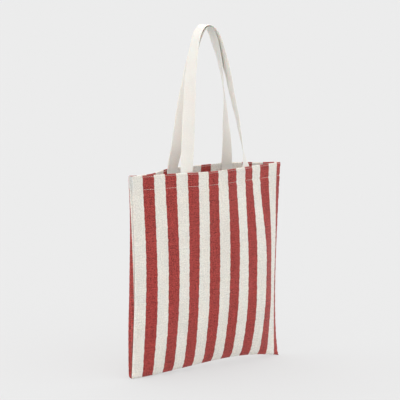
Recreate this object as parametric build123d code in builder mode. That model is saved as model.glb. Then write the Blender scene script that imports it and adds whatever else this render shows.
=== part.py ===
from build123d import *
import math
import os

# Canvas tote bag: two striped panels sewn at the sides and the bottom, hemmed at the mouth,
# with two webbing handles. Millimetres. +Z is up, -Y is the front, +X is to the right seen
# from the front. The origin is the point where a hook or a hand bears: the underside of the
# inner handle at the top of its arch.

# Bag
bag_height = 400.0  # mouth edge to the bottom corners
panel_width = 380.0  # flat width of a panel, seam to seam
canvas = 1.2  # thickness of one layer of canvas
mouth_bow = 30.0  # how far a panel stands out from the seam line at the mouth
waist_bow = 29.0  # the same, a third of the way down
belly_bow = 30.5  # the same, at the fullest level
tuck_bow = 23.0  # the same, where the panel turns in to the bottom seam
base_bow = 0.2  # the same, along the bottom seam
waist_level = 265.0  # height of the waist above the bottom corners
belly_level = 70.0  # height of the fullest level above the bottom corners
tuck_level = 28.0  # height of the turn-in above the bottom corners
base_rise = 9.0  # how far the bottom seam arches up between its corners, where the panels lie flat together

# Hem and seams
hem_depth = 30.0  # mouth edge to the folded edge of the hem
hem_thickness = 2.7  # all the layers of the hem, outside to inside
seam_allowance = 10.0  # depth of the turned-in edges of a sewn seam
seam_thickness = 3.0  # both turned-in edges and their overlock thread
seam_clearance = 0.4  # between the seams where they meet, and under the hem
thread_height = 0.8  # width of a row of stitches on the cloth
thread_thickness = 0.5  # how far a row stands out of the cloth
edge_row_depth = 3.0  # mouth edge to the upper row of stitches
lower_row_depth = 28.0  # mouth edge to the lower row of stitches

# Handles
tape_width = 25.0
tape_thickness = 1.8
tape_end_length = 28.0  # sewn stretch of a handle, below the mouth edge
handle_drop = 280.0  # mouth edge to the underside of the inner handle's arch
front_leg_reach = 75.0  # middle of the bag to the middle of a leg, front handle
back_leg_reach = 70.0  # the same, back handle
front_arch_power = 0.42  # how square the front handle's arch is: 0.5 is a parabola
back_arch_power = 0.47  # the same, back handle
arch_gap = 1.8  # between the two handles where one passes over the other
arch_offset = 3.0  # the front handle's arch is this far in front of the middle
tape_clearance = 0.3  # between a handle and the hem that it is sewn to
loop_gap = 0.8  # mouth edge to the lowest point of a loop
half_steps = 14  # spans of the loop's skin from a leg to the top of the arch

mouth_z = -handle_drop
base_z = mouth_z - bag_height
hem_z = mouth_z - hem_depth
front = -1
back = 1

os.makedirs("parts", exist_ok=True)


def half_width(bow):
    """Half the chord that a panel of fixed width spans when it is bowed by this much."""
    return (panel_width - 8 / 3 * bow**2 / panel_width) / 2


def bow_depth(x, bow):
    """How far the bowed line stands out at x, and its slope there, on a circle through the seams."""
    half = half_width(bow)
    radius = (half**2 + bow**2) / (2 * bow)
    depth = math.sqrt(radius**2 - x**2) - (radius - bow)
    return depth, x / math.sqrt(radius**2 - x**2)


def bowed_section(z, bow, side, inner, outer):
    """A bowed strip at height z, from inner to outer as measured out from the seam plane."""
    half = half_width(bow)
    with BuildSketch(Plane.XY.offset(z)) as section:
        with BuildLine():
            ThreePointArc((-half, side * outer), (0, side * (outer + bow)), (half, side * outer))
            Line((half, side * outer), (half, side * inner))
            ThreePointArc((half, side * inner), (0, side * (inner + bow)), (-half, side * inner))
            Line((-half, side * inner), (-half, side * outer))
        make_face()
    return section.sketch


def under_base_arch():
    """The space under the bottom seam, which arches up between the two corners."""
    half = half_width(base_bow)
    with BuildPart() as space:
        with BuildSketch(Plane.XZ):
            with BuildLine():
                ThreePointArc((-half, base_z), (0, base_z + base_rise), (half, base_z))
                Line((half, base_z), (-half, base_z))
            make_face()
        extrude(amount=belly_bow + hem_thickness, both=True)
    return space.part


# Levels of the bag from the bottom corners to the mouth: height and bow
levels = [
    (base_z, base_bow),
    (base_z + base_rise, base_bow),
    (base_z + (base_rise + tuck_level) / 2, (base_bow + tuck_bow) * 0.56),
    (base_z + tuck_level, tuck_bow),
    (base_z + (tuck_level + belly_level) / 2, (tuck_bow + belly_bow) * 0.52),
    (base_z + belly_level, belly_bow),
    (base_z + (belly_level + waist_level) / 2, (belly_bow + waist_bow) / 2),
    (base_z + waist_level, waist_bow),
    (hem_z, mouth_bow),
    (mouth_z, mouth_bow),
]
panel_inner = seam_thickness / 2
panel_outer = panel_inner + canvas
hem_inner = panel_outer - hem_thickness

# Panels, each one sheet with its hem turned to the inside

with BuildPart() as front_panel:
    for z, bow in levels:
        add(bowed_section(z, bow, front, panel_inner, panel_outer))
    loft(ruled=True)
    for z in (hem_z, mouth_z):
        add(bowed_section(z, mouth_bow, front, hem_inner, panel_outer))
    loft(ruled=True)
    add(under_base_arch(), mode=Mode.SUBTRACT)
front_panel.part.label = "front_panel"
export_step(front_panel.part, "parts/front_panel.step")

with BuildPart() as back_panel:
    for z, bow in levels:
        add(bowed_section(z, bow, back, panel_inner, panel_outer))
    loft(ruled=True)
    for z in (hem_z, mouth_z):
        add(bowed_section(z, mouth_bow, back, hem_inner, panel_outer))
    loft(ruled=True)
    add(under_base_arch(), mode=Mode.SUBTRACT)
back_panel.part.label = "back_panel"
export_step(back_panel.part, "parts/back_panel.step")

# Seams: the turned-in edges of both panels, bound together

for side_name, side_sign in (("left", -1), ("right", 1)):
    with BuildPart() as side_seam:
        for z, bow in levels[:-1]:
            middle = side_sign * (half_width(bow) - seam_allowance / 2)
            top_gap = seam_clearance if z == hem_z else 0
            with BuildSketch(Plane.XY.offset(z - top_gap)):
                with Locations((middle, 0)):
                    Rectangle(seam_allowance, seam_thickness)
        loft(ruled=True)
        add(under_base_arch(), mode=Mode.SUBTRACT)
    side_seam.part.label = f"{side_name}_side_seam"
    export_step(side_seam.part, f"parts/{side_name}_side_seam.step")

base_half = half_width(base_bow)
base_seam_reach = half_width(belly_bow) - seam_allowance - seam_clearance
with BuildPart() as bottom_seam:
    with BuildSketch(Plane.XZ):
        with BuildLine():
            ThreePointArc((-base_half, base_z), (0, base_z + base_rise), (base_half, base_z))
            Line((base_half, base_z), (base_half, base_z + seam_allowance))
            ThreePointArc(
                (base_half, base_z + seam_allowance),
                (0, base_z + base_rise + seam_allowance),
                (-base_half, base_z + seam_allowance),
            )
            Line((-base_half, base_z + seam_allowance), (-base_half, base_z))
        make_face()
        with Locations((0, base_z)):
            Rectangle(2 * base_seam_reach, 4 * (base_rise + seam_allowance), mode=Mode.INTERSECT)
    extrude(amount=seam_thickness / 2, both=True)
bottom_seam.part.label = "bottom_seam"
export_step(bottom_seam.part, "parts/bottom_seam.step")

# Hem stitching: two rows on the outside of each hem

for side_name, side in (("front", front), ("back", back)):
    with BuildPart() as hem_stitching:
        for row_depth in (edge_row_depth, lower_row_depth):
            for edge in (-thread_height / 2, thread_height / 2):
                level = mouth_z - row_depth + edge
                add(bowed_section(level, mouth_bow, side, panel_outer, panel_outer + thread_thickness))
            loft(ruled=True)
    hem_stitching.part.label = f"{side_name}_hem_stitching"
    export_step(hem_stitching.part, f"parts/{side_name}_hem_stitching.step")

# Handles: each is one length of webbing, in three pieces where it is sewn and where it swings


def leg_root(reach, side):
    """Where the middle of a leg stands at the mouth edge: its place along Y and its turn."""
    depth, slope = bow_depth(reach, mouth_bow)
    turn = math.atan(slope)
    into_bag = (tape_thickness / 2 + tape_clearance) / math.cos(turn)
    return side * (depth + hem_inner - into_bag), side * math.degrees(turn)


def loop_plane(t, reach, power, side, arch_z):
    """The plane across the webbing, t = 0 at the foot of the right leg and 1 at the top of the arch.

    The half width of the loop goes as a power of the depth below the arch. The leg leans from its
    hem to the arch, and the webbing turns evenly from flat against the hem to square across it.
    It stands square on its sewn end at the foot.
    """
    foot_z = mouth_z + loop_gap
    foot_y, foot_turn = leg_root(reach, side)

    def centre(t):
        share = (1 - t) ** 2
        y = foot_y * share + side * arch_offset * (1 - share)
        return Vector(reach * share**power, y, arch_z - (arch_z - foot_z) * share)

    nudge = 0.01
    if t == 0:
        tangent = Vector(0, 0, 1)
    elif t == 1:
        tangent = Vector(-1, 0, 0)
    else:
        tangent = (centre(t + nudge) - centre(t - nudge)).normalized()
    share = (1 - t) ** 2
    turn = math.radians((90 + foot_turn) * share)
    across = Vector(math.sin(turn), math.cos(turn), 0)
    across = (across - tangent * across.dot(tangent)).normalized()
    return Plane(origin=centre(t), x_dir=across, z_dir=tangent)


handles = (
    ("front", front, front_leg_reach, front_arch_power, tape_thickness * 1.5 + arch_gap),
    ("back", back, back_leg_reach, back_arch_power, tape_thickness / 2),
)
for handle_name, side, reach, power, arch_z in handles:
    with BuildPart() as handle_loop:
        for step in range(half_steps + 1):
            with BuildSketch(loop_plane(step / half_steps, reach, power, side, arch_z)):
                Rectangle(tape_width, tape_thickness)
        loft(ruled=True)
        mirror(about=Plane.YZ)
    handle_loop.part.label = f"{handle_name}_handle_loop"
    export_step(handle_loop.part, f"parts/{handle_name}_handle_loop.step")

    root_y, root_turn = leg_root(reach, side)
    for leg_name, leg_sign in (("left", -1), ("right", 1)):
        end_plane = Plane(
            origin=(leg_sign * reach, root_y, mouth_z),
            x_dir=(math.cos(math.radians(root_turn)), -leg_sign * math.sin(math.radians(root_turn)), 0),
            z_dir=(0, 0, -1),
        )
        with BuildPart() as handle_end:
            with BuildSketch(end_plane):
                Rectangle(tape_width, tape_thickness)
            extrude(amount=tape_end_length)
        handle_end.part.label = f"{handle_name}_handle_{leg_name}_end"
        export_step(handle_end.part, f"parts/{handle_name}_handle_{leg_name}_end.step")
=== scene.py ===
import bpy
import numpy as np
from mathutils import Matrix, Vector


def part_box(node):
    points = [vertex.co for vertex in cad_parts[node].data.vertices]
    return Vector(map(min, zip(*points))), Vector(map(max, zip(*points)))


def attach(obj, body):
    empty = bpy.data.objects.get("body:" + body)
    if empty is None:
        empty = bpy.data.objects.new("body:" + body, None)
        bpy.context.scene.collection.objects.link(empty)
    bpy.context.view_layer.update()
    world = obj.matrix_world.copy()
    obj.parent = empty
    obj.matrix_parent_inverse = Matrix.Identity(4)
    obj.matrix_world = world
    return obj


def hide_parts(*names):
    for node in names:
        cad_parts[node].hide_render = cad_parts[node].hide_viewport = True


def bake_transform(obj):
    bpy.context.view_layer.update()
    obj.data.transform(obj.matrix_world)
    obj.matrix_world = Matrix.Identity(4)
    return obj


bl_info = {
    "name": "Striped canvas tote",
    "version": (1, 0, 0),
    "blender": (4, 5, 0),
    "location": "View3D > Sidebar > Tote",
    "description": "Cloth, stitching, webbing handles and a studio for the striped canvas tote",
    "category": "Object",
}

# The frame is loaded first, so that the sizes below can come from it.
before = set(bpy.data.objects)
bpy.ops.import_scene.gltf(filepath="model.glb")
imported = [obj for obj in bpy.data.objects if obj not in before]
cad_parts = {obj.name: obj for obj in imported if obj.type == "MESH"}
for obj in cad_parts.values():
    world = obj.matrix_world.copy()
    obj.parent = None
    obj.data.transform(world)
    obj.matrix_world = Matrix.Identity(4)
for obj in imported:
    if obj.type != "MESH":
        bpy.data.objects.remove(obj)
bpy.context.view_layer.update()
PANEL_LOW, PANEL_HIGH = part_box("front_panel")
BASE_LEVEL = PANEL_LOW.z
MOUTH_LEVEL = PANEL_HIGH.z
BAG_HEIGHT = MOUTH_LEVEL - BASE_LEVEL
PANEL_WIDTH = PANEL_HIGH.x - PANEL_LOW.x
FRONT, BACK = -1, 1
SIDES = (("front", FRONT), ("back", BACK))
SEAMS = ("left", "right", "bottom")
TAU = 2 * np.pi
UP = np.array([0.0, 0.0, 1.0])
REARWARD = np.array([0.0, 1.0, 0.0])
LEVEL = np.array([1, 1, 0])  # keeps the level part of a vector

# Lengths in metres that the cloth's shape is built on
SEAM_CORNER = 0.1875  # middle of the bag to a side seam at its bottom corner
BASE_HALF = 0.187  # middle of the bag to the end of the bottom seam
TAKE_UP = 0.075  # width beside a seam in which a panel's spare width is taken up
ROLL_REACH = 0.0068  # left seam to where the back panel rolls out the most
UNDER_ROLL = 0.00042  # radius of the hem's lower edge where it is rolled under
FRONT_LEAN = 0.0045  # how far the front arch's middle stands to the left
FRONT_SAG = 0.003  # how far the left front leg bows to the right
BACK_SAG = 0.0050  # how far the back legs bow to the right
PRESSED = 0.98  # a layer's share of its thickness where two are sewn together
FLOOR_HALF = 60.0
ROOM, OVERHEAD = (0.839, 0.839, 0.839, 1), (1.45, 1.45, 1.45, 1)  # the studio's own light
FLOOR_GAP = 0.0006  # bottom corners to the floor
# Cotton lets some light through, which lifts the inside of the bag.
THROUGH_CLOTH = {
    "Subsurface Weight": 0.4,
    "Subsurface Radius": (1.0, 0.65, 0.5),
    "Subsurface Scale": 0.0025,
}


# ---------------- sizes and colours


def number(name, default, description, **kind):
    """A plain number, or an angle or a length where kind says so."""
    return bpy.props.FloatProperty(name=name, default=default, description=description, **kind)


def length(name, default, description):
    """A size in metres that shows in the scene's own unit."""
    return number(name, default, description, unit="LENGTH", precision=5)


def angle(name, degrees, description):
    """An angle, given in degrees."""
    return number(name, np.radians(degrees), description, subtype="ANGLE")


def colour(name, default, description):
    """A linear colour."""
    return bpy.props.FloatVectorProperty(
        name=name, default=default, description=description, subtype="COLOR", size=3, min=0, max=1
    )


class ToteCloth(bpy.types.PropertyGroup):
    canvas: length("Canvas", 0.0011, "Thickness of one layer of canvas")
    front_bow: length("Front bow", 0.0300, "How far the front panel stands out at the mouth")
    back_bow: length("Back bow", 0.0305, "How far the back panel stands out at the mouth")
    waist_bow: length("Waist", 0.0285, "How far a panel stands out at two thirds of its height")
    belly_bow: length("Belly", 0.0310, "How far a panel stands out near the bottom")
    tuck_height: length("Tuck", 0.130, "Height over which a panel turns in to the bottom seam")
    seam_pull: length("Seam pull", 0.008, "How far the left seam draws in between its corners")
    seam_back: length("Seam set back", 0.0150, "How far the right seam stands back between its corners")
    seam_turn: length("Seam turn", 0.0058, "How far the back panel rolls out past the left seam")
    base_rise: length("Base rise", 0.0123, "How far the bottom seam arches up between its corners")
    edge_roll: length("Edge roll", 0.0025, "Radius of the rolled cloth beside a seam")
    hem_depth: length("Hem depth", 0.030, "Mouth edge to the lower edge of the hem")
    hem_gap: length("Hem gap", 0.0016, "Middle of the outer layer to the middle of the turned-in layer")
    seam_allowance: length("Seam allowance", 0.0096, "Depth of the turned-in edges of a seam")
    stripe: length("Stripe", 0.0243, "Width of one stripe")
    back_first_red: length("Back stripe start", 0.0028, "Left seam to the back's first red at the mouth")
    back_skew: number("Back skew", 0.011, "How far off the grain the back is cut, as a slope")
    yarn: length("Yarn", 0.00085, "Spacing of the yarns in the weave")
    red: colour("Red yarn", (0.328, 0.037, 0.031), "Dyed warp yarn")
    cream: colour("Cream yarn", (0.757, 0.718, 0.655), "Undyed warp and weft yarn")


class ToteStitching(bpy.types.PropertyGroup):
    stitch: length("Stitch", 0.0028, "Length of one stitch")
    stitch_gap: length("Gap", 0.0006, "Cloth that shows between two stitches")
    thread: length("Thread", 0.00055, "Diameter of the sewing thread")
    edge_row: length("Edge row", 0.003, "Mouth edge to the upper row of stitches")
    lower_row: length("Lower row", 0.028, "Mouth edge to the lower row of stitches")
    overlock_pitch: length("Overlock pitch", 0.0026, "Spacing of the loops that bind the seam edges")
    overlock_depth: length("Overlock depth", 0.0052, "Raw edge to the needle line of the binding")
    ecru: colour("Thread colour", (0.780, 0.715, 0.620), "Cotton thread")


class ToteHandles(bpy.types.PropertyGroup):
    width: length("Width", 0.025, "Width of the webbing")
    thickness: length("Thickness", 0.0018, "Thickness of the webbing")
    sewn_end: length("Sewn end", 0.028, "Length of each end that is sewn inside the hem")
    front_reach: length("Front reach", 0.075, "Half the distance between the front handle's feet")
    back_reach: length("Back reach", 0.0675, "Half the distance between the back handle's feet")
    front_power: number("Front arch", 0.42, "How square the front arch is; 0.5 is a parabola")
    back_power: number("Back arch", 0.47, "How square the back arch is; 0.5 is a parabola")
    front_top: length("Front top", 0.0058, "Height of the front arch's middle over the hanging point")
    back_top: length("Back top", 0.0022, "Height of the back arch's middle over the hanging point")
    lean: length("Lean", 0.0050, "How far the front feet stand right of the middle; the back's, half")
    offset: length("Offset", 0.003, "How far the back arch stands behind the front one")
    rib: length("Rib", 0.0011, "Spacing of the webbing's ribs")
    webbing: colour("Webbing colour", (0.765, 0.748, 0.703), "Natural cotton webbing")


class ToteStage(bpy.types.PropertyGroup):
    azimuth: angle("Camera azimuth", -38.36, "Where the camera stands round the bag")
    distance: length("Camera distance", 4.6054, "From the middle of the bag, along the floor")
    height: length("Camera height", 0.9787, "Above the floor")
    heading: angle("Camera heading", -38.19, "Where the camera looks")
    pitch: angle("Camera pitch", 7.93, "How far the camera looks down")
    lens: number("Lens", 210.53, "Focal length in millimetres")
    key: number("Key light", 0.28, "Strength of the key light")
    side: number("Side light", 0.48, "Strength of the side light")
    fill: number("Back light", 0.35, "Strength of the light behind")
    floor: colour("Floor colour", (0.22, 0.22, 0.22), "Pale studio floor")
    floor_glow: number("Floor glow", 0.505, "Light that the floor gives")


# ---------------- shared shapes


def smooth(x, low=0.0, high=1.0):
    """3t^2 - 2t^3, with t going from 0 at low to 1 at high."""
    t = np.clip((x - low) / (high - low), 0, 1)
    return t * t * (3 - 2 * t)


def ripple(a, b, waves):
    """A sum of sines over two lengths: amplitude * sin(2 pi (a / wave_a + b / wave_b) + phase)."""
    return sum(
        size * np.sin(TAU * (a / wave_a + b / wave_b) + phase) for size, wave_a, wave_b, phase in waves
    )


def mesh_piece(name, grids, materials=()):
    """One mesh from grids of points.

    A grid is (points[rows, columns, 3], cloth[rows, columns, 2], closed): it is wrapped round from
    its last column to its first where closed is "round", and its first and last rows are then
    capped. Faces are (row, column), (row, column + 1), (row + 1, column + 1), (row + 1, column).
    """
    points, cloth, faces, start = [], [], [], 0
    for grid, flat, closed in grids:
        rows, columns = grid.shape[:2]
        index = start + np.arange(rows * columns).reshape(rows, columns)
        points.append(grid.reshape(-1, 3))
        cloth.append(flat.reshape(-1, 2))
        beside = np.roll(index, -1, axis=1) if closed else index[:, 1:]
        here = index if closed else index[:, :-1]
        quads = np.stack([here[:-1], beside[:-1], beside[1:], here[1:]], axis=-1)
        faces.extend(quads.reshape(-1, 4).tolist())
        if closed:
            faces.append(index[0, ::-1].tolist())
            faces.append(index[-1].tolist())
        start += rows * columns
    mesh = bpy.data.meshes.new(name)
    mesh.from_pydata(np.concatenate(points).tolist(), [], faces)
    mesh.polygons.foreach_set("use_smooth", np.ones(len(mesh.polygons), bool))
    corner = np.empty(len(mesh.loops), np.int32)
    mesh.loops.foreach_get("vertex_index", corner)
    layer = mesh.uv_layers.new(name="cloth")
    layer.uv.foreach_set("vector", np.concatenate(cloth)[corner].astype(np.float32).ravel())
    mesh.update()
    piece = bpy.data.objects.new(name, mesh)
    bpy.context.scene.collection.objects.link(piece)
    for material in materials:
        mesh.materials.append(material)
    return piece


def mark(piece, name, values):
    """Stores one number a point, for a material to read."""
    attribute = piece.data.attributes.new(name, "FLOAT", "POINT")
    attribute.data.foreach_set("value", np.asarray(values, np.float32).ravel())


def along(path):
    """Distance along a path of points."""
    return np.concatenate([[0], np.cumsum(np.linalg.norm(np.diff(path, axis=0), axis=1))])


def unit(vectors):
    """The vectors at length 1."""
    return vectors / np.maximum(np.linalg.norm(vectors, axis=-1, keepdims=True), 1e-12)


def sample(at, travel, points):
    """The points of a path at some distances along it."""
    return np.stack([np.interp(at, travel, points[:, k]) for k in range(3)], axis=1)


def squared(value, power):
    """A sine or cosine with its sign kept and its size raised to a power, for rounded corners."""
    return np.sign(value) * np.abs(value) ** power


def flipped(points, *others):
    """Grids with their columns in the other order, which turns their faces over."""
    return tuple(grid[:, ::-1] for grid in (points, *others))


def circle(sides):
    """The cosines and sines of the angles round a section."""
    turn = np.linspace(0, TAU, sides, endpoint=False)
    return np.cos(turn), np.sin(turn)


def tube(path, across, out, radius, sides):
    """A closed round tube along a path: P + W r cos(a) + N r sin(a), with W across and N out of it."""
    c, s = circle(sides)
    radius = np.broadcast_to(radius, len(path))[:, None, None]
    points = path[:, None] + across[:, None] * radius * c[:, None] + out[:, None] * radius * s[:, None]
    flat = np.stack(np.broadcast_arrays(radius[..., 0] * c, along(path)[:, None]), axis=-1)
    return points, flat, "round"


# ---------------- the bag's cloth


def seam_place(height):
    """The side seams at a height above the corners: the left one's (x, y) and the right one's.

    The left one draws in as sin(pi f)^1.2, f from 0 to 1 up the seam, and the right one stands back
    as sin(pi f^0.55), most of all above the bottom corner.
    """
    cloth = bpy.context.scene.tote_cloth
    share = np.clip(height / BAG_HEIGHT, 0, 1)
    draw = np.sin(np.pi * share) ** 1.2
    left = -SEAM_CORNER + cloth.seam_pull * draw
    right = SEAM_CORNER - 0.25 * cloth.seam_pull * draw
    return left, 0 * share, right, cloth.seam_back * np.sin(np.pi * share**0.55)


def base_lift(across):
    """How far the bottom seam arches up: rise * sin(pi f^1.65), f from 0 to 1 along the seam."""
    share = np.clip(across / PANEL_WIDTH, 0, 1)
    return bpy.context.scene.tote_cloth.base_rise * np.sin(np.pi * share**1.65)


def mouth_lift(across, side):
    """How far the mouth edge rises: two soft peaks where the handles pull it, and soft dips between."""
    share = across / PANEL_WIDTH
    peaks = np.exp(-(((share - 0.31) / 0.11) ** 2)) + np.exp(-(((share - 0.71) / 0.11) ** 2))
    if side == FRONT:
        return 0.0008 * peaks - 0.0012 * np.sin(np.pi * share) ** 2
    dip = np.exp(-(((share - 0.17) / 0.13) ** 2)) * smooth(share, 0.0, 0.06)
    return 0.0018 * peaks + 0.0036 * np.sin(np.pi * share) ** 1.5 - 0.0042 * dip


def stand_out(across, height, side):
    """How far a panel stands out from the line between its seams, at (across, height) on the cloth.

    With u = across / half a panel and v = 2 - u, the body's section rises from the left seam as
    1 - e^(-(u / 0.39)^1.35), goes on rising a little across the middle, and falls to the right seam
    as 1 - (1 - v / 0.355)^1.3. The mouth's is (1 - (1 - u)^2)^(1.5 - 0.25 u). The back is the front
    turned end for end, with a steeper fall to the seam. The section is scaled by the bow at that
    height, and by (1 - (1 - h / T)^1.6)^0.5 below the tuck height T.
    """
    cloth = bpy.context.scene.tote_cloth
    u = np.clip(2 * across / PANEL_WIDTH, 0, 2)
    u = u if side == FRONT else 2 - u
    v = 2 - u
    ramp = 0.87 * (1 - np.exp(-((u / 0.39) ** 1.35))) + 0.23 * smooth(u, 0.5, 1.45)
    mouth = (1 - (1 - u) ** 2) ** (1.5 - 0.25 * u)
    if side == FRONT:
        body = 1.10 * ramp * (1 - np.clip(1 - v / 0.355, 0, 1) ** 1.3)
    else:
        steep = np.tanh(v * PANEL_WIDTH / 2 / 0.013)
        shoulder = 1 - np.exp(-((v / 0.33) ** 1.6))
        body = 0.85 * ((ramp + 0.04) * (0.46 * steep + 0.54 * shoulder))
        mouth = 0.78 * mouth + 0.22 * steep * ramp
    to_mouth = smooth(height, 0.20, 0.385)
    bow = cloth.front_bow if side == FRONT else cloth.back_bow
    size = cloth.belly_bow + (cloth.waist_bow - cloth.belly_bow) * smooth(height, 0.07, 0.265)
    size = size + (bow - size) * to_mouth
    tuck = np.sqrt(1 - (1 - np.clip(height / cloth.tuck_height, 0, 1)) ** 1.6)
    section = body * (1 - to_mouth) + mouth * to_mouth
    away_from_seams = np.minimum(smooth(u, 0, 0.25), smooth(v, 0, 0.25))
    soft_folds = [
        (0.0011, 0.205, 0.95, 0.4 + side),
        (0.0008, -0.118, 0.52, 1.9 * side),
        (0.0005, 0.071, 0.33, 2.6 + side),
        (0.00035, 0.043, -0.21, 0.8 * side),
    ]
    waves = ripple(across, height, soft_folds)
    return (size * section + waves * away_from_seams * smooth(height, 0.0, 0.09)) * tuck


def pucker(across, height, side):
    """Small gathers beside the sewn lines: short waves that die out over a few millimetres."""
    edge = np.minimum(across, PANEL_WIDTH - across)
    drop = BAG_HEIGHT - height
    lower_row = bpy.context.scene.tote_stitching.lower_row
    seam_gathers = [(0.00032, 0.0135, 0.06, side), (0.00022, 0.0083, -0.05, 2.0), (0.0003, 0.031, 1.0, 0.6)]
    base_gathers = [(0.00028, 0.0142, 0.05, 0.3 * side), (0.00022, 0.0091, 0.05, 1.1)]
    hem_gathers = [(0.00022, 0.0121, 0.04, 1.7 * side), (0.00016, 0.0077, 0.05, 0.2)]
    seam = np.exp(-edge / 0.010) * ripple(height, across, seam_gathers)
    base = np.exp(-height / 0.009) * ripple(across, height, base_gathers)
    near_rows = np.exp(-(((drop - lower_row) / 0.0035) ** 2)) + 0.6 * np.exp(-((drop / 0.006) ** 2))
    hem = near_rows * ripple(across, drop, hem_gathers)
    sunk = 0.00035 * np.exp(-(((drop - lower_row) / 0.0013) ** 2))
    return seam + base + hem - sunk


def seam_roll(across, height):
    """How far the back panel rolls out past the left seam: r (s / c) e^(1 - s / c).

    There is less of it towards the mouth and in the last few millimetres above the bottom corner.
    """
    share = np.clip(height / BAG_HEIGHT, 0, 1)
    size = bpy.context.scene.tote_cloth.seam_turn * (1 - 0.75 * smooth(share, 0.45, 0.95))
    size = size * smooth(height, -0.004, 0.006)
    return size * across / ROLL_REACH * np.exp(1 - across / ROLL_REACH)


def panel_rows(side, across, heights):
    """The middle of a panel's cloth at each height, as points[height, across, 3].

    The depth is the stand-out plus a quarter circle of edge roll at each seam. x comes from the
    cloth's own length, dx = (ds^2 - dy^2)^0.5, added up along the row. What is spare is taken up
    near one seam: the right one at the front, and the left one at the back.
    """
    cloth = bpy.context.scene.tote_cloth
    s, h = np.meshgrid(across, heights)
    left_x, left_y, right_x, right_y = (np.asarray(v)[:, None] for v in seam_place(heights))
    edge = np.minimum(s, PANEL_WIDTH - s)
    roll = cloth.edge_roll * np.sin(np.clip(edge / cloth.edge_roll, 0, np.pi / 2))
    base_roll = np.sin(np.clip(h / cloth.edge_roll, 0, np.pi / 2))
    depth = cloth.canvas / 2 + 0.00005 + roll * base_roll + np.clip(stand_out(s, h, side), 0, None)
    depth = depth + pucker(s, h, side) * smooth(edge, 0, 0.003) * smooth(h, 0, 0.003)
    seam_y = left_y + (right_y - left_y) * s / PANEL_WIDTH
    y = seam_y + side * depth
    ds, dy = np.diff(s, axis=1), np.diff(y, axis=1)
    dx = np.sqrt(np.maximum(ds**2 - dy**2, (0.12 * ds) ** 2))
    x = left_x + np.concatenate([np.zeros_like(left_x), np.cumsum(dx, axis=1)], axis=1)
    spare = x[:, -1:] - right_x
    if side == FRONT:
        x = x - spare * smooth(s, PANEL_WIDTH - TAKE_UP, PANEL_WIDTH)
    else:
        x = x - spare * smooth(s, 0, TAKE_UP) - seam_roll(s, h)
    low, high = base_lift(s), mouth_lift(s, side)
    z = BASE_LEVEL + low + (BAG_HEIGHT + high - low) * h / BAG_HEIGHT
    return np.stack([x, y, z], axis=-1)


def outward(rows, side):
    """The cloth's normals, from the differences along both directions of its grid."""
    columns_step, rows_step = np.gradient(rows, axis=1), np.gradient(rows, axis=0)
    return unit(np.cross(columns_step, rows_step)) * (1 if side == FRONT else -1)


def cloth_columns():
    """Distances across a panel: close together beside the seams and 2.5 mm apart between them."""
    near = np.array([0, 0.4, 0.8, 1.2, 1.6, 2.0, 2.5, 3.2, 4.2, 5.6, 7.4]) / 1000
    middle = np.linspace(near[-1], PANEL_WIDTH - near[-1], 146)[1:-1]
    return np.concatenate([near, middle, PANEL_WIDTH - near[::-1]])


def cloth_heights(top):
    """Heights up a panel: close together at the bottom seam and 2.6 mm apart above it."""
    near = np.array([0, 0.25, 0.6, 1.0, 1.5, 2.1, 2.9, 4.0, 5.5, 7.4, 9.6]) / 1000
    return np.concatenate([near, np.linspace(near[-1], top, 148)[1:]])


def cloth_coordinate(side, across, height):
    """Where a point was on the bolt: measured from the left edge of the first red stripe."""
    cloth = bpy.context.scene.tote_cloth
    if side == FRONT:
        return across - cloth.stripe, height
    return across - cloth.back_first_red + cloth.back_skew * (BAG_HEIGHT - height), height


def make_panel(name, side, node, material):
    """One panel as a single sheet: up from the bottom seam, over the mouth and down inside as the hem.

    The turned-in layer is the outer one moved in along its normal by the hem gap, joined to it by a
    half circle, and its lower edge is rolled under by another.
    """
    cloth = bpy.context.scene.tote_cloth
    across = cloth_columns()
    edge = np.minimum(across, PANEL_WIDTH - across)
    gap = (cloth.hem_gap * (0.12 + 0.88 * smooth(edge, 0, 0.009)))[:, None]
    top = BAG_HEIGHT - (cloth.hem_gap + cloth.canvas) / 2
    heights = cloth_heights(top)
    outer = panel_rows(side, across, heights)
    inward = -outward(outer, side)
    fold_in = unit(inward[-1] * LEVEL)
    turn = np.linspace(0, np.pi, 9)[1:-1, None, None]
    fold = outer[-1] + fold_in * gap / 2 * (1 - np.cos(turn)) + UP * gap / 2 * np.sin(turn)
    drops = np.linspace(0, cloth.hem_depth - 0.0022, 13)
    flap = panel_rows(side, across, top - drops)
    loose = 0.0003 * np.sin(TAU * across / 0.067)[:, None] * smooth(drops, 0, cloth.hem_depth)[:, None, None]
    flap = flap + fold_in * (gap + loose * smooth(edge, 0, 0.02)[:, None])
    under = turn[::2]
    tucked = flap[-1] - fold_in * UNDER_ROLL * (1 - np.cos(under)) - UP * UNDER_ROLL * np.sin(under)
    points = np.concatenate([outer, fold, flap, tucked])
    over = top + gap.max() / 2 * np.pi
    rise = np.concatenate(
        [
            heights,
            top + gap.max() / 2 * turn[:, 0, 0],
            over + drops,
            over + drops[-1] + UNDER_ROLL * under[:, 0, 0],
        ]
    )
    s, h = np.meshgrid(across, rise)
    # The bolt coordinate follows the true height, so that the hem's stripes carry on over the fold.
    level = points[..., 2] - BASE_LEVEL if side == BACK else h
    u, _ = cloth_coordinate(side, s, level)
    flat = np.stack([u, h], axis=-1)
    sewn = np.exp(-(np.minimum(s, PANEL_WIDTH - s) / 0.002))
    if side == BACK:
        points, flat, sewn = flipped(points, flat, sewn)
    piece = mesh_piece(name, [(points, flat, None)], [material])
    folded = np.exp(-(((points[..., 2] - MOUTH_LEVEL) / 0.0016) ** 2))
    mark(piece, "fold", np.clip(folded + sewn, 0, 1))
    sheet = piece.modifiers.new("Canvas", "SOLIDIFY")
    sheet.thickness = cloth.canvas
    sheet.offset = 0
    sheet.use_rim = True
    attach(piece, "bag")
    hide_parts(node)
    return piece


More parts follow.
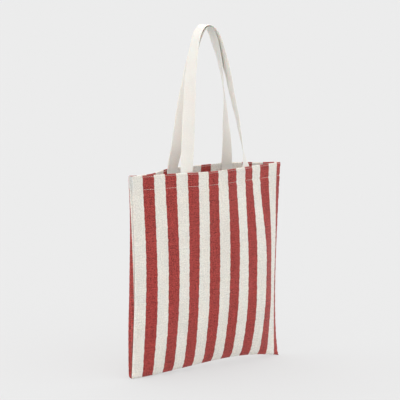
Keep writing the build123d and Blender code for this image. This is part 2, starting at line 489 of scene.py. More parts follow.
# ---------------- seams and stitches


def seam_path(name):
    """A seam's line, the way into the bag from it, and each point's distance along the cloth."""
    cloth = bpy.context.scene.tote_cloth
    if name == "bottom":
        across = np.linspace(0.011, PANEL_WIDTH - 0.011, 190)
        x = -BASE_HALF + 2 * BASE_HALF * across / PANEL_WIDTH
        path = np.stack([x, 0 * x, BASE_LEVEL + base_lift(across)], axis=1)
        return path, np.broadcast_to(UP, path.shape), across
    heights = np.linspace(0.0015, BAG_HEIGHT - cloth.hem_depth - 0.001, 190)
    left_x, left_y, right_x, right_y = seam_place(heights)
    ends = {"left": (left_x, left_y, 1.0, 0.0), "right": (right_x, right_y, -1.0, PANEL_WIDTH)}
    x, y, into, edge = ends[name]
    z = BASE_LEVEL + base_lift(np.array(edge)) + heights
    return np.stack([x, y, z], axis=1), np.broadcast_to([into, 0.0, 0.0], (len(z), 3)), heights


def allowance_sway(distance, depth):
    """How far the turned-in edges sway to one side: their raw edge waves and the seam line doesn't."""
    allowance = bpy.context.scene.tote_cloth.seam_allowance
    share = np.clip(depth / allowance, 0, 1) ** 2
    return share * ripple(distance, 0, [(0.0009, 0.083, 1, 0.5), (0.0005, 0.037, 1, 2.0)])


def make_seam_edges(name, material):
    """The turned-in edges of both panels, as one flat tube across the seam: 2 layers of canvas."""
    cloth = bpy.context.scene.tote_cloth
    line, into, distance = seam_path(name)
    middle = cloth.seam_allowance / 2 + 0.0012
    c, s = (squared(value, 0.5) for value in circle(20))
    depth = middle + cloth.seam_allowance / 2 * c
    thick = cloth.canvas * PRESSED * s
    sway = allowance_sway(distance[:, None], depth[None])
    near = smooth(distance, distance[0], distance[0] + 0.02)[:, None]
    points = line[:, None] + into[:, None] * depth[:, None] + REARWARD * (thick + sway * near)[..., None]
    u = np.broadcast_to(-depth - cloth.stripe * 0.02, points.shape[:2])
    if name == "bottom":
        u, v = np.broadcast_to((distance - cloth.stripe)[:, None], points.shape[:2]), -depth + 0 * sway
    else:
        v = np.broadcast_to(distance[:, None], points.shape[:2])
    if name != "right":
        points, u, v = flipped(points, u, v)
    piece = mesh_piece(f"{name}_seam_edges", [(points, np.stack([u, v], axis=-1), "round")], [material])
    mark(piece, "fold", np.full(v.shape, 0.35))
    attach(piece, "bag")
    node = "bottom_seam" if name == "bottom" else f"{name}_side_seam"
    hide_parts(node)
    return piece


def make_overlock(name, material):
    """The thread that binds the edges: one tube on a zigzag that goes round the raw edge.

    With p the phase along the seam, the depth is raw edge - d (1 - cos p) / 2 and the side is
    sin p, so that each turn crosses one face, rounds the edge and crosses the other. Two more tubes
    run straight along the needle line, one on each face.
    """
    cloth, sewing = bpy.context.scene.tote_cloth, bpy.context.scene.tote_stitching
    line, into, distance = seam_path(name)
    travel = along(line)
    turns = int(travel[-1] / sewing.overlock_pitch)
    phase = np.linspace(0, turns, turns * 8 + 1)
    where = np.clip(travel[0] + phase / turns * travel[-1], 0, travel[-1])
    base = sample(where, travel, line)
    into = np.broadcast_to(into[0], base.shape)
    at = np.interp(where, travel, distance)
    raw = cloth.seam_allowance + 0.0013
    depth = raw - sewing.overlock_depth * (1 - np.cos(TAU * phase)) / 2
    edges = cloth.canvas * PRESSED
    near = smooth(at, at[0], at[0] + 0.02)
    y = squared(np.sin(TAU * phase), 0.35) * (edges + sewing.thread * 0.35)
    y = y + allowance_sway(at, depth) * near
    loops = base + into * depth[:, None] + REARWARD * y[:, None]
    grids = [thread_tube(loops, into, sewing.thread * 0.42, 5)]
    needle = raw - sewing.overlock_depth
    for face in (-1, 1):
        y = face * (edges + sewing.thread * 0.3) + allowance_sway(at, needle) * near
        needle_line = (base + into * needle + REARWARD * y[:, None])[::4]
        grids.append(thread_tube(needle_line, into[::4], sewing.thread * 0.45, 5))
    piece = mesh_piece(f"{name}_seam_overlock", grids, [material])
    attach(piece, "bag")
    return piece


def thread_tube(path, hint, radius, sides):
    """A round tube along a path, with its section's sides kept level with the hint."""
    tangent = unit(np.gradient(path, axis=0))
    across = unit(hint - tangent * (hint * tangent).sum(axis=1, keepdims=True) + 1e-9)
    out = np.cross(tangent, across)
    points, flat, closed = tube(path, across, out, radius, sides)
    return *flipped(points, flat), closed


def stitch_row(side, drop, face, lift):
    """One row of stitches at a drop below the mouth, on one face of the hem: "out" or "in".

    Each stitch is a short tube that rises over the cloth as sin(pi t)^0.5, sinks at both ends and
    slants up a little. The row is lifted over whatever lies on the cloth there.
    """
    cloth, sewing = bpy.context.scene.tote_cloth, bpy.context.scene.tote_stitching
    across = cloth_columns()
    row = panel_rows(side, across, np.array([BAG_HEIGHT - drop]))[0]
    slope = unit(np.gradient(row, axis=0) * LEVEL)
    out = np.stack([slope[:, 1], -slope[:, 0], 0 * slope[:, 0]], axis=1) * (1 if side == FRONT else -1)
    if face == "in":
        out = -out
    stand = cloth.canvas / 2 + (cloth.hem_gap if face == "in" else 0)
    pitch = sewing.stitch + sewing.stitch_gap
    count = int((PANEL_WIDTH - 0.008) / pitch)
    first = (PANEL_WIDTH - count * pitch + sewing.stitch_gap) / 2
    share = np.linspace(0, 1, 6)
    at = first + np.arange(count)[:, None] * pitch + share * sewing.stitch
    rise = (np.sin(np.pi * share) ** 0.5 * 0.55 - 0.25) * sewing.thread
    radius = sewing.thread / 2 * np.array([0.55, 0.95, 1, 1, 0.95, 0.55])
    slant = 0.06
    grids = []
    for places in at:
        normal = sample(places, across, out)
        centre = sample(places, across, row) + normal * (stand + rise + lift(places))[:, None]
        tangent = unit(unit(np.gradient(centre, axis=0)) * LEVEL + UP * slant)
        centre = centre + UP * ((share - 0.5) * sewing.stitch * slant)[:, None]
        points, flat, closed = tube(centre, unit(UP - tangent * tangent[:, 2:]), normal, radius, 6)
        if (side == FRONT) == (face == "out"):
            points, flat = flipped(points, flat)
        grids.append((points, flat, closed))
    return grids


def over_tapes(side, drop):
    """How far the inner stitches step out over the sewn ends of a handle at this drop."""
    handles = bpy.context.scene.tote_handles
    middle = PANEL_WIDTH / 2
    feet = [handle_foot(side, sign)[3] for sign in (-1, 1)]

    def lift(places):
        near = np.min([np.abs(places - middle - foot) for foot in feet], axis=0)
        on_tape = 1 - smooth(near, handles.width / 2 - 0.0006, handles.width / 2 + 0.0008)
        return on_tape * (handles.thickness + 0.00025)

    return lift if drop < handles.sewn_end + 0.001 else np.zeros_like


def make_hem_stitches(name, side, node, material):
    """Both rows of a hem's stitches, outside and inside."""
    sewing = bpy.context.scene.tote_stitching
    grids = []
    for drop in (sewing.edge_row, sewing.lower_row):
        grids += stitch_row(side, drop, "out", np.zeros_like)
        grids += stitch_row(side, drop, "in", over_tapes(side, drop))
    piece = mesh_piece(name, grids, [material])
    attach(piece, "bag")
    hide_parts(node)
    return piece


# ---------------- the handles


def handle_foot(side, sign):
    """Where a leg meets the mouth, behind the hem: its place, its turn from Y and its distance across."""
    cloth, handles = bpy.context.scene.tote_cloth, bpy.context.scene.tote_handles
    reach = handles.front_reach if side == FRONT else handles.back_reach
    x = sign * reach + (handles.lean if side == FRONT else handles.lean / 2)
    across = cloth_columns()
    step = 0.004
    row = panel_rows(side, across, np.array([BAG_HEIGHT - step]))[0]
    place = np.interp(x, row[:, 0], across)
    before, y, after = np.interp([x - step, x, x + step], row[:, 0], row[:, 1])
    slope = (after - before) / (2 * step)
    inside = cloth.hem_gap + cloth.canvas / 2 + handles.thickness / 2 + 0.0002
    y = y - side * inside * np.hypot(1, slope)
    turn = np.arctan2(1, sign * slope)
    return x, y, turn, place - PANEL_WIDTH / 2


def handle_leg(side, sign):
    """One leg from the top of the arch down to its sewn end: points and the way across the webbing.

    With f the share of the drop below the arch, half the spread is reach f^p, and the leg leans
    from the middle to its foot in proportion to f. The webbing turns from square across at the arch
    to flat against the hem: as f^1.3 on the left front leg, nearly half of it just above the mouth
    on the right front one, and evenly over the lower nine tenths at the back.
    """
    handles = bpy.context.scene.tote_handles
    reach = handles.front_reach if side == FRONT else handles.back_reach
    power = handles.front_power if side == FRONT else handles.back_power
    top = handles.front_top if side == FRONT else handles.back_top
    foot_x, foot_y, foot_turn, _ = handle_foot(side, sign)
    drop = top - MOUTH_LEVEL
    share = np.linspace(0, 1, 600) ** 2
    x = sign * reach * share**power + (foot_x - sign * reach) * share
    if side == BACK:
        x = x + BACK_SAG * np.sin(np.pi * share**1.3)
    else:
        x = x - FRONT_LEAN * (1 - share)
        if sign < 0:
            x = x + FRONT_SAG * np.sin(np.pi * share)
    top_y = 0.0 if side == FRONT else handles.offset
    y = top_y + (foot_y - top_y) * share
    leg = np.stack([x, y, top - drop * share], axis=1)
    rise = drop * (1 - share)
    if side == FRONT and sign < 0:
        turn = foot_turn * (1 - rise / drop) ** 1.3
    elif side == FRONT:
        turn = foot_turn * (0.45 * np.exp(-rise / 0.016) + 0.55 * (1 - rise / drop) ** 1.5)
    else:
        turn = foot_turn * np.clip(1 - rise / (0.9 * drop), 0, 1)
    below = np.linspace(0, handles.sewn_end, 40)[1:]
    sewn = np.stack([foot_x + 0 * below, foot_y + 0 * below, MOUTH_LEVEL - below], axis=1)
    return np.concatenate([leg, sewn]), np.concatenate([turn, foot_turn + 0 * below])


def make_handle(name, side, material):
    """One length of webbing, from its right sewn end over the arch to its left one.

    Its section is a rounded rectangle, cupped by 0.3 mm, carried along the path with its width
    turned out of line with the path: W - T (T . W).
    """
    handles = bpy.context.scene.tote_handles
    right, right_turn = handle_leg(side, 1)
    left, left_turn = handle_leg(side, -1)
    path = np.concatenate([right[::-1], left[1:]])
    sway = np.concatenate([np.sin(right_turn)[::-1], -np.sin(left_turn)[1:]])
    ahead = np.concatenate([np.cos(right_turn)[::-1], np.cos(left_turn)[1:]])
    width_way = np.stack([sway, ahead, 0 * sway], axis=1)
    travel = along(path)
    at = np.linspace(0, travel[-1], 341)
    path, width_way = sample(at, travel, path), sample(at, travel, width_way)
    near_mouth = np.exp(-(((path[:, 2:] - MOUTH_LEVEL) / 0.02) ** 2))
    path = path + (eased(path, 5) - path) * near_mouth
    width_way = eased(width_way, 4)
    tangent = unit(np.gradient(path, axis=0))
    across = unit(width_way - tangent * (width_way * tangent).sum(axis=1, keepdims=True))
    out = np.cross(across, tangent)
    free = smooth(at, 0.03, 0.07) * smooth(at[-1] - at, 0.03, 0.07)
    soft = ripple(at, 0, [(0.0006, 0.19, 1, side), (0.00035, 0.083, 1, 2.0 * side), (0.0002, 0.041, 1, 0.7)])
    drift = 0.8 * ripple(at, 0, [(0.0005, 0.23, 1, 1.0)])
    path = path + out * (soft * free)[:, None] + across * (drift * free)[:, None]
    c, s = circle(34)
    w = squared(c, 0.62) * handles.width / 2
    n = squared(s, 0.45) * handles.thickness / 2
    cup = -0.0003 * (1 - (2 * w / handles.width) ** 2)
    points = path[:, None] + across[:, None] * w[:, None] + out[:, None] * (
        n[:, None] + cup[:, None] * free[:, None, None]
    )
    flat = np.stack(np.broadcast_arrays(w[None] + 0 * at[:, None], at[:, None]), axis=-1)
    piece = mesh_piece(name, [(points, flat, "round")], [material])
    edges = np.exp(-((1 - np.abs(2 * w / handles.width)) / 0.05))
    mark(piece, "fold", np.broadcast_to(edges, points.shape[:2]))
    return piece, float(at[-1])


def eased(values, reach):
    """A running average that leaves both ends where they are."""
    kernel = np.hanning(2 * reach + 3)[1:-1]
    kernel = kernel / kernel.sum()
    before = 2 * values[:1] - values[reach:0:-1]
    after = 2 * values[-1:] - values[-2 : -reach - 2 : -1]
    padded = np.concatenate([before, values, after])
    return np.stack([np.convolve(padded[:, k], kernel, "valid") for k in range(values.shape[1])], axis=1)


# ---------------- materials


class Wiring:
    """Adds shader nodes to one tree and joins them."""

    def __init__(self, tree):
        self.tree = tree

    def node(self, kind, settings=None, **inputs):
        """A node whose inputs are given by name, with spaces as underscores, as values or sockets."""
        made = self.tree.nodes.new("ShaderNode" + kind)
        for name, value in (settings or {}).items():
            setattr(made, name, value)
        for name, value in inputs.items():
            self.put(value, made.inputs[name.replace("_", " ")])
        return made

    def put(self, value, socket):
        """Joins a socket to an input, or gives the input a value."""
        if isinstance(value, bpy.types.NodeSocket):
            self.tree.links.new(value, socket)
        else:
            socket.default_value = value

    def math(self, operation, a, b=0.0, c=0.0, clamp=False):
        """One sum: the result of a Math node."""
        made = self.tree.nodes.new("ShaderNodeMath")
        made.operation = operation
        made.use_clamp = clamp
        for value, socket in zip((a, b, c), made.inputs):
            self.put(value, socket)
        return made.outputs[0]

    def times(self, a, b):
        """Two numbers multiplied."""
        return self.math("MULTIPLY", a, b)

    def shaded(self, colour, tone):
        """A colour multiplied by a tone."""
        return self.mix(1.0, colour, tone, "MULTIPLY")

    def mix(self, factor, a, b, blend="MIX"):
        """Two colours mixed."""
        made = self.tree.nodes.new("ShaderNodeMix")
        made.data_type = "RGBA"
        made.blend_type = blend
        self.put(factor, made.inputs[0])
        self.put(a, made.inputs[6])
        self.put(b, made.inputs[7])
        return made.outputs[2]

    def span(self, value, low, high, to_low=0.0, to_high=1.0):
        """A value moved from one range to another, smoothly and without passing it."""
        made = self.node("MapRange", {"interpolation_type": "SMOOTHSTEP"}, Value=value)
        for name, number in (("From Min", low), ("From Max", high), ("To Min", to_low), ("To Max", to_high)):
            self.put(number, made.inputs[name])
        return made.outputs[0]

    def noise(self, vector, scale, detail=2.0, roughness=0.5):
        """The value of a noise texture, about 0.5."""
        made = self.node("TexNoise", Vector=vector, Scale=scale, Detail=detail, Roughness=roughness)
        return made.outputs[0]

    def streaks(self, vector, x, y, detail=2.0, roughness=0.5):
        """Noise that is drawn out, so that it repeats about x and y times a metre."""
        drawn = self.node("Mapping", Vector=vector, Scale=(x, y, 1.0)).outputs[0]
        return self.noise(drawn, 1.0, detail, roughness)

    def bump(self, strength, distance, height, under=None):
        """The normals of a relief, laid over those of another one."""
        made = self.node("Bump", Strength=strength, Distance=distance, Height=height)
        if under is not None:
            self.put(under, made.inputs["Normal"])
        return made.outputs[0]


def effect(name, inputs, outputs):
    """A new shader node group: its wiring, its input sockets and its output node."""
    tree = bpy.data.node_groups.new(name, "ShaderNodeTree")
    for label, kind, value in inputs:
        socket = tree.interface.new_socket(label, in_out="INPUT", socket_type="NodeSocket" + kind)
        socket.default_value = value
    for label, kind in outputs:
        tree.interface.new_socket(label, in_out="OUTPUT", socket_type="NodeSocket" + kind)
    wiring = Wiring(tree)
    return wiring, tree.nodes.new("NodeGroupInput").outputs, tree.nodes.new("NodeGroupOutput").inputs


def place(wiring, group, **inputs):
    """A group placed in a material with its own values."""
    made = wiring.tree.nodes.new("ShaderNodeGroup")
    made.node_tree = bpy.data.node_groups[group]
    for name, value in inputs.items():
        wiring.put(value, made.inputs[name.replace("_", " ")])
    return made.outputs


CLOTH = ("Cloth", "Vector", (0, 0, 0))
YARN = ("Yarn", "Float", 0.00085)


def weave_effect():
    """Plain weave, for the relief and for the share of weft that shows.

    With a and b the angles along the two yarns, a crossing is |cos a cos b|^0.6 high, and the warp
    is on top where cos a cos b is above 0.
    """
    w, given, out = effect(
        "Tote plain weave",
        [CLOTH, YARN, ("Slub", "Float", 0.25)],
        [("Height", "Float"), ("Weft", "Float"), ("Slub", "Float")],
    )
    bend = w.node("TexNoise", Vector=given["Cloth"], Scale=140.0, Detail=1.0)
    bent = w.node("VectorMath", {"operation": "ADD"})
    w.put(given["Cloth"], bent.inputs[0])
    scaled = w.node("VectorMath", {"operation": "SCALE"}, Vector=bend.outputs[1], Scale=0.0007).outputs[0]
    w.put(scaled, bent.inputs[1])
    parts = w.node("SeparateXYZ", Vector=bent.outputs[0]).outputs
    turn = w.math("DIVIDE", np.pi, given["Yarn"])
    a = w.math("COSINE", w.times(parts[0], turn))
    b = w.math("COSINE", w.times(parts[1], turn))
    crossing = w.times(a, b)
    warp_slub = w.streaks(given["Cloth"], 1150.0, 75.0)
    weft_slub = w.streaks(given["Cloth"], 75.0, 1150.0)
    slub = w.math("ADD", w.times(warp_slub, 0.5), w.times(weft_slub, 0.5))
    bump = w.math("POWER", w.math("ABSOLUTE", crossing), 0.6)
    w.put(w.math("ADD", bump, w.times(slub, given["Slub"])), out["Height"])
    w.put(w.span(crossing, -0.05, -0.45), out["Weft"])
    w.put(slub, out["Slub"])


def stripe_effect():
    """Even stripes: 1 in the first of every two, with an edge as soft as a yarn, that wavers a little."""
    w, given, out = effect(
        "Tote stripes",
        [CLOTH, ("Stripe", "Float", 0.0243), ("Softness", "Float", 0.0003)],
        [("Stripe", "Float")],
    )
    waver = w.streaks(given["Cloth"], 300.0, 650.0, 1.0)
    across = w.node("SeparateXYZ", Vector=given["Cloth"]).outputs[0]
    across = w.math("MULTIPLY_ADD", w.math("SUBTRACT", waver, 0.5), 0.0006, across)
    centred = w.math("SUBTRACT", across, w.times(given["Stripe"], 0.5))
    away = w.math("PINGPONG", centred, given["Stripe"])
    half = w.times(given["Stripe"], 0.5)
    low = w.math("SUBTRACT", half, given["Softness"])
    high = w.math("ADD", half, given["Softness"])
    w.put(w.span(away, low, high, 1.0, 0.0), out["Stripe"])


def tone_effect():
    """Uneven yarn: a value about 1 from specks, streaks along both yarns and a step at each crossing."""
    w, given, out = effect(
        "Tote yarn tone",
        [CLOTH, YARN, ("Amount", "Float", 0.1)],
        [("Tone", "Float"), ("Cloudiness", "Float")],
    )
    speck = w.noise(given["Cloth"], 430.0, 3.0, 0.7)
    warp = w.streaks(given["Cloth"], 700.0, 28.0)
    weft = w.streaks(given["Cloth"], 28.0, 700.0)
    cloud = w.noise(given["Cloth"], 14.0, 2.0)
    yarns = w.node("VectorMath", {"operation": "SNAP"})
    w.put(given["Cloth"], yarns.inputs[0])
    w.put(w.node("CombineXYZ", X=given["Yarn"], Y=given["Yarn"], Z=1.0).outputs[0], yarns.inputs[1])
    crossing = w.node("TexWhiteNoise", {"noise_dimensions": "3D"}, Vector=yarns.outputs[0]).outputs[0]
    total = w.math("ADD", w.times(speck, 3.0), w.math("ADD", warp, weft))
    centred = w.math("SUBTRACT", w.times(total, 0.25), 0.625)
    centred = w.math("MULTIPLY_ADD", w.math("SUBTRACT", crossing, 0.5), 0.16, centred)
    w.put(w.math("MULTIPLY_ADD", centred, given["Amount"], 1.0), out["Tone"])
    w.put(cloud, out["Cloudiness"])


def worn_effect():
    """Folded edges: the stored fold share, broken up by noise, for cloth that is rubbed pale there."""
    w, given, out = effect(
        "Tote rubbed folds",
        [CLOTH, ("Fold", "Float", 0.0), ("Amount", "Float", 0.5)],
        [("Rubbed", "Float")],
    )
    broken = w.span(w.noise(given["Cloth"], 240.0, 3.0, 0.6), 0.38, 0.68)
    w.put(w.times(w.times(given["Fold"], broken), given["Amount"]), out["Rubbed"])


def new_material(name, sheen, specular):
    """A material with one Principled BSDF, whose even values are set on it.

    It is returned with its wiring, the shader's inputs and the cloth's coordinates.
    """
    material = bpy.data.materials.new(name)
    material.use_nodes = True
    tree = material.node_tree
    tree.nodes.clear()
    w = Wiring(tree)
    shader = w.node("BsdfPrincipled", Sheen_Weight=sheen, Sheen_Roughness=0.55, Specular_IOR_Level=specular)
    for socket, value in THROUGH_CLOTH.items():
        shader.inputs[socket].default_value = value
    w.node("OutputMaterial", Surface=shader.outputs[0])
    cloth = w.node("UVMap", {"uv_map": "cloth"}).outputs[0]
    return material, w, shader.inputs, cloth


def four(rgb, share=1.0):
    """A colour with its alpha, lighter or darker by a share."""
    return (*(min(1.0, value * share) for value in rgb), 1.0)


def canvas_material(name):
    """Yarn-dyed canvas: red and cream warp, cream weft at the crossings, slubs and rubbed folds."""
    sizes = bpy.context.scene.tote_cloth
    material, w, shader, cloth = new_material(name, 0.12, 0.2)
    weave = place(w, "Tote plain weave", Cloth=cloth, Yarn=sizes.yarn, Slub=0.6)
    stripes = place(w, "Tote stripes", Cloth=cloth, Stripe=sizes.stripe, Softness=0.00035)
    tone = place(w, "Tote yarn tone", Cloth=cloth, Yarn=sizes.yarn, Amount=4.4)
    fold = w.node("Attribute", {"attribute_name": "fold"}).outputs["Fac"]
    rubbed = place(w, "Tote rubbed folds", Cloth=cloth, Fold=fold, Amount=0.10)
    red = w.mix(w.times(weave["Weft"], 0.06), four(sizes.red), four(sizes.cream, 0.72))
    cream = w.mix(w.times(weave["Weft"], 0.5), four(sizes.cream), four(sizes.cream, 0.95))
    red = w.shaded(red, tone["Tone"])
    fleck = w.span(w.streaks(cloth, 420.0, 160.0), 0.66, 0.76)
    cream = w.mix(w.times(fleck, 0.16), cream, four((0.50, 0.40, 0.29)))
    soft_tone = w.math("MULTIPLY_ADD", w.math("SUBTRACT", tone["Tone"], 1.0), 0.28, 1.0)
    cream = w.shaded(cream, soft_tone)
    base = w.mix(stripes["Stripe"], cream, red)
    base = w.mix(rubbed["Rubbed"], base, four(sizes.cream))
    cloudy = w.span(tone["Cloudiness"], 0.25, 0.75, 0.965, 1.03)
    w.put(w.shaded(base, cloudy), shader["Base Color"])
    w.put(w.span(weave["Slub"], 0.3, 0.7, 0.84, 0.96), shader["Roughness"])
    ground = w.bump(0.75, 0.0011, tone["Cloudiness"])
    creases = w.streaks(cloth, 60.0, 34.0, 3.0, 0.55)
    creased = w.bump(0.35, 0.0012, creases, ground)
    w.put(w.bump(0.65, 0.00022, weave["Height"], creased), shader["Normal"])
    return material


def webbing_material(name):
    """Cotton webbing: lengthwise ribs crossed by picks, in a fine plain weave, with bound edges, and painted
    shade in the grooves between the ribs.
    """
    handles = bpy.context.scene.tote_handles
    material, w, shader, cloth = new_material(name, 0.15, 0.2)
    weave = place(w, "Tote plain weave", Cloth=cloth, Yarn=handles.rib, Slub=0.5)
    tone = place(w, "Tote yarn tone", Cloth=cloth, Yarn=handles.rib, Amount=0.22)
    fold = w.node("Attribute", {"attribute_name": "fold"}).outputs["Fac"]
    rubbed = place(w, "Tote rubbed folds", Cloth=cloth, Fold=fold, Amount=0.35)
    across = w.node("SeparateXYZ", Vector=cloth).outputs[0]
    rib = w.math("ABSOLUTE", w.math("SINE", w.times(across, np.pi / (2 * handles.rib))))
    base = w.mix(w.times(weave["Weft"], 0.35), four(handles.webbing), four(handles.webbing, 0.90))
    base = w.shaded(base, tone["Tone"])
    # Painted shade: the webbing is made a tenth darker in the grooves between its ribs.
    base = w.shaded(base, w.span(rib, 0.0, 0.45, 0.90, 1.0))
    base = w.mix(rubbed["Rubbed"], base, four(handles.webbing, 1.12))
    w.put(base, shader["Base Color"])
    w.put(w.span(weave["Slub"], 0.3, 0.7, 0.80, 0.94), shader["Roughness"])
    ribbed = w.bump(0.6, 0.00035, rib)
    w.put(w.bump(0.6, 0.00025, weave["Height"], ribbed), shader["Normal"])
    return material


def thread_material(name):
    """Twisted cotton thread: slanting plies with painted shade in the grooves between them, and a little
    uneven tone.
    """
    sewing = bpy.context.scene.tote_stitching
    material, w, shader, cloth = new_material(name, 0.2, 0.35)
    tone = place(w, "Tote yarn tone", Cloth=cloth, Amount=0.25)
    parts = w.node("SeparateXYZ", Vector=cloth).outputs
    lean = w.math("MULTIPLY_ADD", parts[0], 1.6, parts[1])
    ply = w.math("ABSOLUTE", w.math("SINE", w.times(lean, np.pi / 0.00055)))
    # Painted shade: the thread is made more than a quarter darker in the grooves between its plies.
    base = w.mix(w.span(ply, 0.0, 0.5), four(sewing.ecru, 0.72), four(sewing.ecru))
    w.put(w.shaded(base, tone["Tone"]), shader["Base Color"])
    w.put(w.span(tone["Cloudiness"], 0.3, 0.7, 0.55, 0.7), shader["Roughness"])
    w.put(w.bump(0.6, 0.00012, ply), shader["Normal"])
    return material


def floor_material(name):
    """A matt pale floor with a faint unevenness in its roughness."""
    stage = bpy.context.scene.tote_stage
    material = bpy.data.materials.new(name)
    material.use_nodes = True
    material.node_tree.nodes.clear()
    w = Wiring(material.node_tree)
    shader = w.node(
        "BsdfPrincipled",
        Base_Color=four(stage.floor),
        Specular_IOR_Level=0.0,
        Emission_Color=(1.0, 1.0, 1.0, 1.0),
        Emission_Strength=stage.floor_glow,
    )
    w.node("OutputMaterial", Surface=shader.outputs[0])
    place_of = w.node("TexCoord").outputs["Object"]
    w.put(w.span(w.noise(place_of, 3.0), 0.3, 0.7, 0.9, 1.0), shader.inputs["Roughness"])
    return material


def finish(name, maker):
    """A material by name, made the first time that it is wanted."""
    return bpy.data.materials.get(name) or maker(name)


# ---------------- operators


class TOTE_OT_effects(bpy.types.Operator):
    """Makes the node groups that the cloth, the webbing and the thread share"""

    bl_idname = "tote.effects"
    bl_label = "Shared effects"

    def execute(self, context):
        weave_effect()
        stripe_effect()
        tone_effect()
        worn_effect()
        return {"FINISHED"}


class TOTE_OT_panels(bpy.types.Operator):
    """Makes the front and back panels, each one sheet of canvas with its hem turned in"""

    bl_idname = "tote.panels"
    bl_label = "Front and back panels"

    def execute(self, context):
        canvas = finish("Striped canvas", canvas_material)
        for name, side in SIDES:
            make_panel(f"{name}_panel_cloth", side, f"{name}_panel", canvas)
        return {"FINISHED"}


class TOTE_OT_seams(bpy.types.Operator):
    """Makes the turned-in edges of the side and bottom seams and the thread that binds them"""

    bl_idname = "tote.seams"
    bl_label = "Seams"

    def execute(self, context):
        canvas = finish("Striped canvas", canvas_material)
        thread = finish("Cotton thread", thread_material)
        for name in SEAMS:
            make_seam_edges(name, canvas)
            make_overlock(name, thread)
        return {"FINISHED"}


class TOTE_OT_hem_stitches(bpy.types.Operator):
    """Makes every stitch of the two rows on each hem, outside and inside"""

    bl_idname = "tote.hem_stitches"
    bl_label = "Hem stitches"

    def execute(self, context):
        thread = finish("Cotton thread", thread_material)
        for name, side in SIDES:
            make_hem_stitches(f"{name}_hem_stitches", side, f"{name}_hem_stitching", thread)
        return {"FINISHED"}


class TOTE_OT_handles(bpy.types.Operator):
    """Makes the two webbing handles, each one length of webbing that turns flat against the hem at the mouth
    edge
    """

    bl_idname = "tote.handles"
    bl_label = "Webbing handles"

    def execute(self, context):
        webbing = finish("Cotton webbing", webbing_material)
        for name, side in SIDES:
            tape, long = make_handle(f"{name}_handle_tape", side, webbing)
            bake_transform(tape)
            nodes = [f"{name}_handle_{part}" for part in ("loop", "left_end", "right_end")]
            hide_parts(*nodes)
        return {"FINISHED"}


class TOTE_OT_declare(bpy.types.Operator):
    """A step that does nothing"""

    bl_idname = "tote.declare"
    bl_label = "Cloth sizes"

    def execute(self, context):
        return {"FINISHED"}


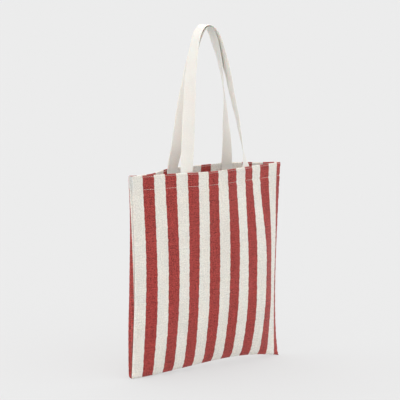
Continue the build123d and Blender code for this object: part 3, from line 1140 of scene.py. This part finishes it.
class TOTE_OT_stage(bpy.types.Operator):
    """Makes the pale floor, the soft studio light and the camera"""

    bl_idname = "tote.stage"
    bl_label = "Studio"

    def execute(self, context):
        scene, stage = context.scene, context.scene.tote_stage
        corners = FLOOR_HALF * np.array([[-1, -1], [1, -1], [1, 1], [-1, 1]])
        mesh = bpy.data.meshes.new("studio_floor")
        mesh.from_pydata([(x, y, BASE_LEVEL - FLOOR_GAP) for x, y in corners], [], [(0, 1, 2, 3)])
        mesh.materials.append(finish("Studio floor", floor_material))
        floor = bpy.data.objects.new("studio_floor", mesh)
        scene.collection.objects.link(floor)
        self.light_room(scene)
        self.add_sun(scene, "key_light", stage.key, azimuth=-42, elevation=34, softness=60)
        self.add_sun(scene, "side_light", stage.side, azimuth=-100, elevation=4, softness=70)
        self.add_sun(scene, "fill_light", stage.fill, azimuth=140, elevation=35, softness=80)
        self.add_camera(scene, stage)
        return {"FINISHED"}

    def light_room(self, scene):
        """A pale room, much brighter overhead: a world colour that depends on height alone."""
        world = bpy.data.worlds.new("Studio room")
        world.use_nodes = True
        world.node_tree.nodes.clear()
        w = Wiring(world.node_tree)
        height = w.node("SeparateXYZ", Vector=w.node("TexCoord").outputs["Generated"]).outputs[2]
        shade = w.mix(w.span(height, 0.05, 0.6), ROOM, OVERHEAD)
        room = w.node("Background", Color=shade, Strength=1.0)
        w.node("OutputWorld", Surface=room.outputs[0])
        scene.world = world

    def add_sun(self, scene, name, strength, azimuth, elevation, softness):
        """A wide soft light from a direction round the bag."""
        light = bpy.data.lights.new(name, "SUN")
        light.energy = strength
        light.angle = np.radians(softness)
        lamp = bpy.data.objects.new(name, light)
        lamp.rotation_euler = (np.radians(90 - elevation), 0, np.radians(azimuth))
        scene.collection.objects.link(lamp)

    def add_camera(self, scene, stage):
        """The camera, placed round the bag by its azimuth and distance, with its own heading."""
        camera = bpy.data.objects.new("studio_camera", bpy.data.cameras.new("studio_camera"))
        camera.data.sensor_width = 36.0
        camera.data.lens = stage.lens
        camera.data.clip_end = 200.0
        camera.data.dof.use_dof = False
        camera.location = (
            np.sin(stage.azimuth) * stage.distance,
            -np.cos(stage.azimuth) * stage.distance,
            BASE_LEVEL + stage.height,
        )
        camera.rotation_euler = (np.pi / 2 - stage.pitch, 0, stage.heading)
        scene.collection.objects.link(camera)
        scene.camera = camera
        scene.view_settings.view_transform = "Standard"


class TOTE_PT_sidebar(bpy.types.Panel):
    """Lists the tote's sizes and the steps that build it"""

    bl_idname = "TOTE_PT_sidebar"
    bl_label = "Striped canvas tote"
    bl_space_type = "VIEW_3D"
    bl_region_type = "UI"
    bl_category = "Tote"

    def draw(self, context):
        for title, group in (
            ("Cloth", "tote_cloth"),
            ("Stitching", "tote_stitching"),
            ("Handles", "tote_handles"),
            ("Studio", "tote_stage"),
        ):
            box = self.layout.box()
            box.label(text=title)
            values = getattr(context.scene, group)
            for name in values.__annotations__:
                box.prop(values, name)
        for step in STEPS:
            self.layout.operator(step.bl_idname)


GROUPS = {
    "tote_cloth": ToteCloth,
    "tote_stitching": ToteStitching,
    "tote_handles": ToteHandles,
    "tote_stage": ToteStage,
}
STEPS = (
    TOTE_OT_effects,
    TOTE_OT_panels,
    TOTE_OT_seams,
    TOTE_OT_hem_stitches,
    TOTE_OT_handles,
    TOTE_OT_declare,
    TOTE_OT_stage,
)
CLASSES = (*GROUPS.values(), *STEPS, TOTE_PT_sidebar)


def register():
    for made in CLASSES:
        bpy.utils.register_class(made)
    for name, group in GROUPS.items():
        setattr(bpy.types.Scene, name, bpy.props.PointerProperty(type=group))


def unregister():
    for name in GROUPS:
        delattr(bpy.types.Scene, name)
    for made in reversed(CLASSES):
        bpy.utils.unregister_class(made)


def main():
    register()
    bpy.ops.tote.effects()
    bpy.ops.tote.panels()
    bpy.ops.tote.seams()
    bpy.ops.tote.hem_stitches()
    bpy.ops.tote.handles()
    bpy.ops.tote.declare()
    bpy.ops.tote.stage()


if __name__ == "__main__":
    main()
